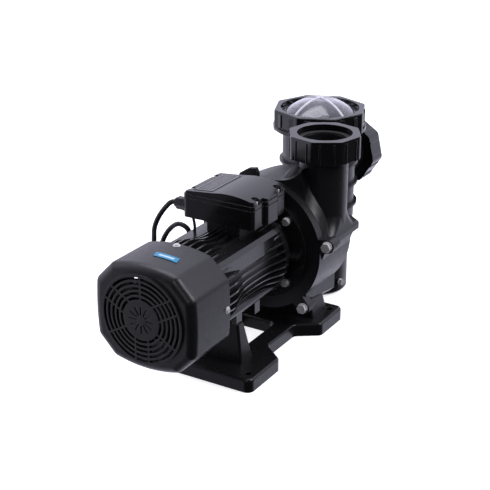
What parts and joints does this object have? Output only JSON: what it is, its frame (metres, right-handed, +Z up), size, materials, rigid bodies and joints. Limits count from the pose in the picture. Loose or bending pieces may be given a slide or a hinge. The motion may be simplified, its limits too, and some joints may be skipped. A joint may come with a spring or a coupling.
{
  "type": "pool pump",
  "caption": "Close-coupled pool circulation pump: fan-cooled motor, moulded volute and strainer pot with a clear domed lid on an H-shaped base.",
  "frame": {"origin": "centre of the four foot holes, on the underside of the base plate", "axes": "+Z up; +Y along the motor shaft, from the fan cover towards the suction port; +X towards the discharge port"},
  "size_m": [0.2378, 0.585, 0.3092],
  "materials": {
    "gloss_black_paint": "gloss",
    "cover_plastic": "satin",
    "base_plastic": "satin",
    "casing_plastic": "satin",
    "nut_plastic": "gloss",
    "box_plastic": "semi-gloss",
    "panel_print": "gloss",
    "badge_blue": "gloss",
    "clear_polycarbonate": "clear",
    "zinc": "zinc plated",
    "stainless": "turned",
    "core_steel": "laminated",
    "copper_winding": "enamelled copper",
    "cast_aluminium": "cast",
    "black_rubber": "matte",
    "cable_sheath": "satin",
    "basket_plastic": "satin",
    "impeller_plastic": "satin",
    "fan_plastic": "matt",
    "ceramic": "lapped",
    "terminal_plastic": "moulded",
    "capacitor_can": "moulded"
  },
  "bodies": {
    "pump": {"base_plate": "base_plastic", "base_screws": "zinc", "motor_pedestal": "base_plastic", "motor_frame": "gloss_black_paint", "rear_endshield": "gloss_black_paint", "front_endshield": "gloss_black_paint", "tie_bolts": "zinc", "flange_bolts": "zinc", "stator_core": "core_steel", "stator_windings": "copper_winding", "rear_bearing_outer_race": "stainless", "front_bearing_outer_race": "stainless", "wave_washer": "stainless", "fan_cover": "cover_plastic", "fan_cover_screws": "zinc", "fan_cover_badge": "badge_blue", "terminal_box": "box_plastic", "terminal_lid_gasket": "black_rubber", "terminal_box_lid": "box_plastic", "terminal_lid_screws": "zinc", "panel_film": "panel_print", "terminal_block": "terminal_plastic", "run_capacitor": "capacitor_can", "cable_gland_body": "base_plastic", "cable_gland_nut": "base_plastic", "power_cable": "cable_sheath", "motor_lead": "cable_sheath", "back_plate": "casing_plastic", "casing_o_ring": "black_rubber", "seal_seat": "ceramic", "wear_ring": "stainless", "strainer_pot": "casing_plastic", "volute_casing": "casing_plastic", "casing_bolts": "zinc", "casing_washers": "zinc"},
    "rotor": {"shaft": "stainless", "rotor_core": "core_steel", "rotor_end_rings": "cast_aluminium", "rear_bearing_inner_race": "stainless", "rear_bearing_balls": "stainless", "front_bearing_inner_race": "stainless", "front_bearing_balls": "stainless", "water_slinger": "black_rubber", "cooling_fan": "fan_plastic", "impeller": "impeller_plastic", "impeller_nut": "stainless", "seal_head": "stainless", "seal_spring": "stainless"},
    "lid": {"clear_lid": "clear_polycarbonate", "lid_o_ring": "black_rubber"},
    "ring": {"lid_ring": "nut_plastic"},
    "discharge_seal": {"discharge_gasket": "black_rubber"},
    "discharge_nut": {"discharge_union_nut": "nut_plastic"},
    "suction_seal": {"suction_gasket": "black_rubber"},
    "suction_nut": {"suction_union_nut": "nut_plastic"},
    "drain_seal": {"drain_plug_seal": "black_rubber"},
    "drain": {"drain_plug": "stainless"},
    "basket": {"strainer_basket": "basket_plastic"}
  },
  "joints": [
    {"name": "rotor_spin", "type": "hinge", "parent": "pump", "child": "rotor", "pos_m": [0, 0, 0.1325], "axis": [0, 1, 0], "continuous": true},
    {"name": "lid_lift", "type": "slide", "parent": "pump", "child": "lid", "axis": [0, 0, 1], "range_m": [0, 0.0211]},
    {"name": "ring_turn", "type": "hinge", "parent": "lid", "child": "ring", "pos_m": [0, 0.22, 0.28], "axis": [0, 0, 1], "range_deg": [0, 1260]},
    {"name": "discharge_seal_lift", "type": "slide", "parent": "pump", "child": "discharge_seal", "axis": [0, 0, 1], "range_m": [0, 0.0211]},
    {"name": "discharge_nut_turn", "type": "hinge", "parent": "discharge_seal", "child": "discharge_nut", "pos_m": [0.068, 0.106, 0.28], "axis": [0, 0, 1], "range_deg": [0, 1260]},
    {"name": "suction_seal_slide", "type": "slide", "parent": "pump", "child": "suction_seal", "axis": [0, 1, 0], "range_m": [0, 0.0211]},
    {"name": "suction_nut_turn", "type": "hinge", "parent": "suction_seal", "child": "suction_nut", "pos_m": [0, 0.32, 0.2], "axis": [0, 1, 0], "range_deg": [0, 1260]},
    {"name": "drain_seal_slide", "type": "slide", "parent": "pump", "child": "drain_seal", "axis": [0.9659, -0.2588, 0], "range_m": [0, 0.00675]},
    {"name": "drain_plug_turn", "type": "hinge", "parent": "drain_seal", "child": "drain", "pos_m": [0, 0.22, 0.0233], "axis": [0.9659, -0.2588, 0], "range_deg": [0, 1626]},
    {"name": "basket_lift", "type": "slide", "parent": "pump", "child": "basket", "axis": [0, 0, 1], "range_m": [0, 0.025]}
  ],
  "couplings": [
    {"joint": "lid_lift", "follows": "ring_turn", "m_per_rad": 0.00095493},
    {"joint": "discharge_seal_lift", "follows": "discharge_nut_turn", "m_per_rad": 0.00095493},
    {"joint": "suction_seal_slide", "follows": "suction_nut_turn", "m_per_rad": 0.00095493},
    {"joint": "drain_plug_turn", "follows": "drain_seal_slide", "rad_per_m": 4188.8}
  ]
}
